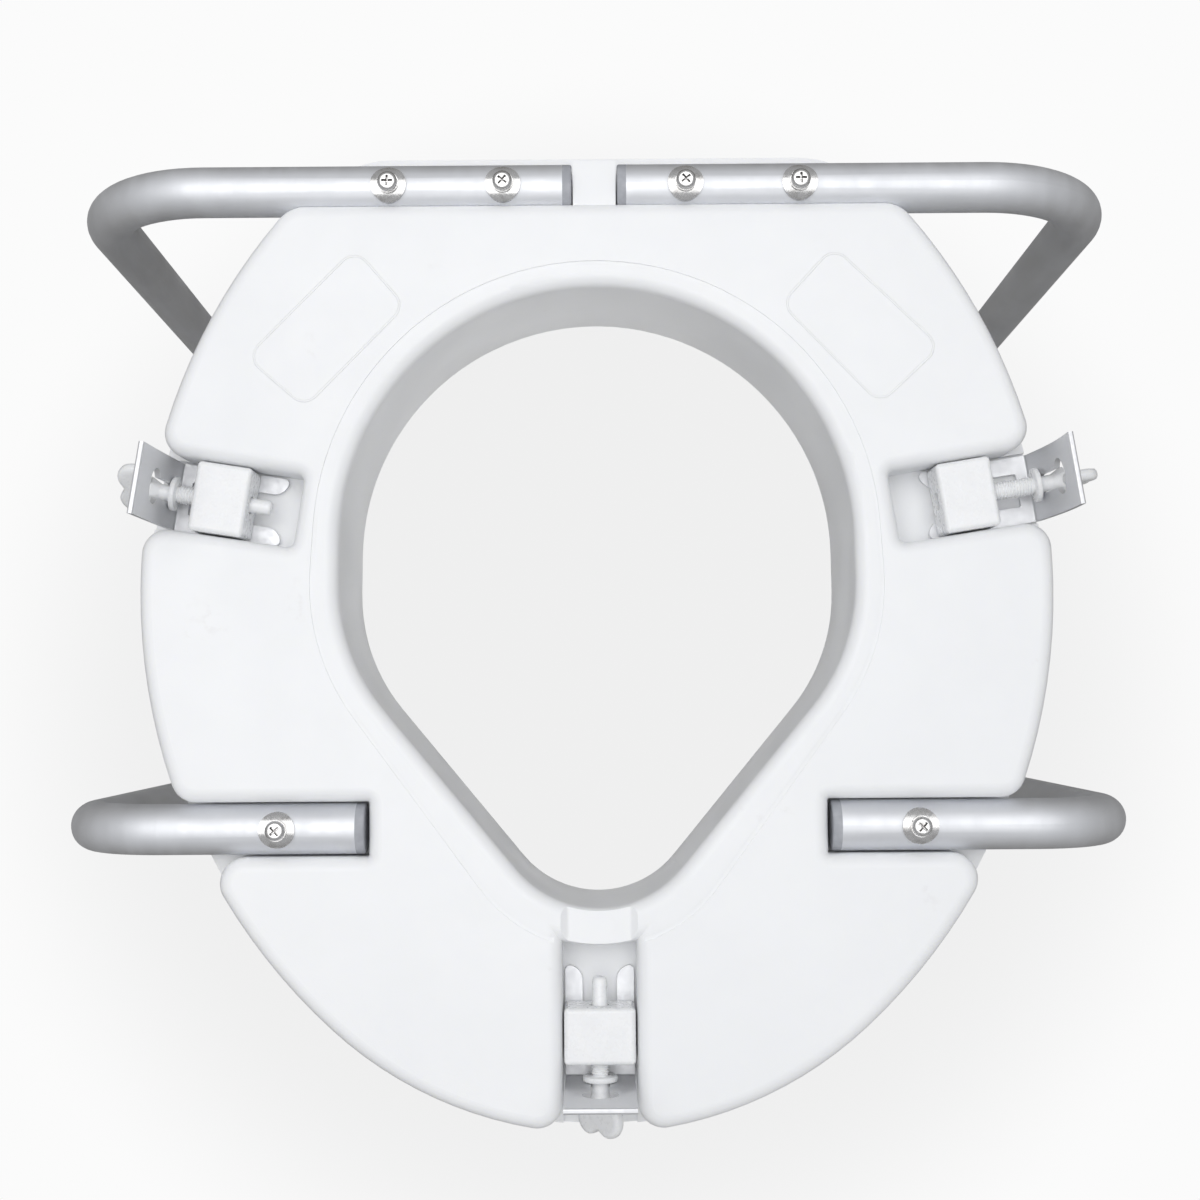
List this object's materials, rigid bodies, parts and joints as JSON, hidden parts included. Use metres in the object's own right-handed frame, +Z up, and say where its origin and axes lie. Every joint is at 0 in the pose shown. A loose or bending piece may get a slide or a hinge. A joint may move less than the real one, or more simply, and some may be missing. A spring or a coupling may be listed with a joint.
{
  "type": "raised toilet seat",
  "caption": "Raised toilet seat moulded in white plastic, with bent tube arm rests and screw clamps that grip the bowl's rim.",
  "frame": {"origin": "under the middle of the whole part, on the plane of the clamp brackets' free edges", "axes": "+Z up through the seat, -Y to the front (the narrow end of the opening), +X to the sitter's left"},
  "size_m": [0.486, 0.4311, 0.3823],
  "materials": {
    "seat_plastic": "blow-moulded white polyethylene",
    "arm_aluminium": "satin anodised",
    "grip_foam": "closed-cell foam",
    "plug_plastic": "moulded grey",
    "screw_steel": "bright stainless",
    "insert_brass": "turned",
    "bracket_aluminium": "punched and bent sheet",
    "clamp_nylon": "moulded white nylon"
  },
  "bodies": {
    "seat": {"seat_body": "seat_plastic", "arm_tube_left": "arm_aluminium", "arm_grip_left": "grip_foam", "rear_plug_left": "plug_plastic", "front_plug_left": "plug_plastic", "arm_screws_left": "screw_steel", "saddle_washers_left": "screw_steel", "spring_washers_left": "screw_steel", "screw_inserts_left": "insert_brass", "arm_tube_right": "arm_aluminium", "arm_grip_right": "grip_foam", "rear_plug_right": "plug_plastic", "front_plug_right": "plug_plastic", "arm_screws_right": "screw_steel", "saddle_washers_right": "screw_steel", "spring_washers_right": "screw_steel", "screw_inserts_right": "insert_brass", "clamp_block_left": "clamp_nylon", "clamp_block_right": "clamp_nylon", "clamp_block_front": "clamp_nylon"},
    "bracket_left": {"clamp_bracket_left": "bracket_aluminium"},
    "screw_left": {"wing_screw_left": "clamp_nylon"},
    "bracket_right": {"clamp_bracket_right": "bracket_aluminium"},
    "screw_right": {"wing_screw_right": "clamp_nylon"},
    "bracket_front": {"clamp_bracket_front": "bracket_aluminium"},
    "screw_front": {"wing_screw_front": "clamp_nylon"}
  },
  "joints": [
    {"name": "left_bracket_slide", "type": "slide", "parent": "seat", "child": "bracket_left", "axis": [0.9877, 0.1564, 0], "range_m": [-0.008, 0.012]},
    {"name": "left_screw_turn", "type": "hinge", "parent": "bracket_left", "child": "screw_left", "pos_m": [0.18568, 0.06281, 0.051], "axis": [0.9877, 0.1564, 0], "range_deg": [-2306, 3458]},
    {"name": "right_bracket_slide", "type": "slide", "parent": "seat", "child": "bracket_right", "axis": [-0.9877, 0.1564, 0], "range_m": [-0.0152, 0.0048]},
    {"name": "right_screw_turn", "type": "hinge", "parent": "bracket_right", "child": "screw_right", "pos_m": [-0.1928, 0.06394, 0.051], "axis": [-0.9877, 0.1564, 0], "range_deg": [-4379.6, 1384.4]},
    {"name": "front_bracket_slide", "type": "slide", "parent": "seat", "child": "bracket_front", "axis": [0, -1, 0], "range_m": [-0.0049, 0.0156]},
    {"name": "front_screw_turn", "type": "hinge", "parent": "bracket_front", "child": "screw_front", "pos_m": [0, -0.192, 0.051], "axis": [0, -1, 0], "range_deg": [-1413.2, 4494.8]}
  ],
  "couplings": [
    {"joint": "left_screw_turn", "follows": "left_bracket_slide", "rad_per_m": 5026.5},
    {"joint": "right_screw_turn", "follows": "right_bracket_slide", "rad_per_m": 5026.5},
    {"joint": "front_screw_turn", "follows": "front_bracket_slide", "rad_per_m": 5026.5}
  ]
}
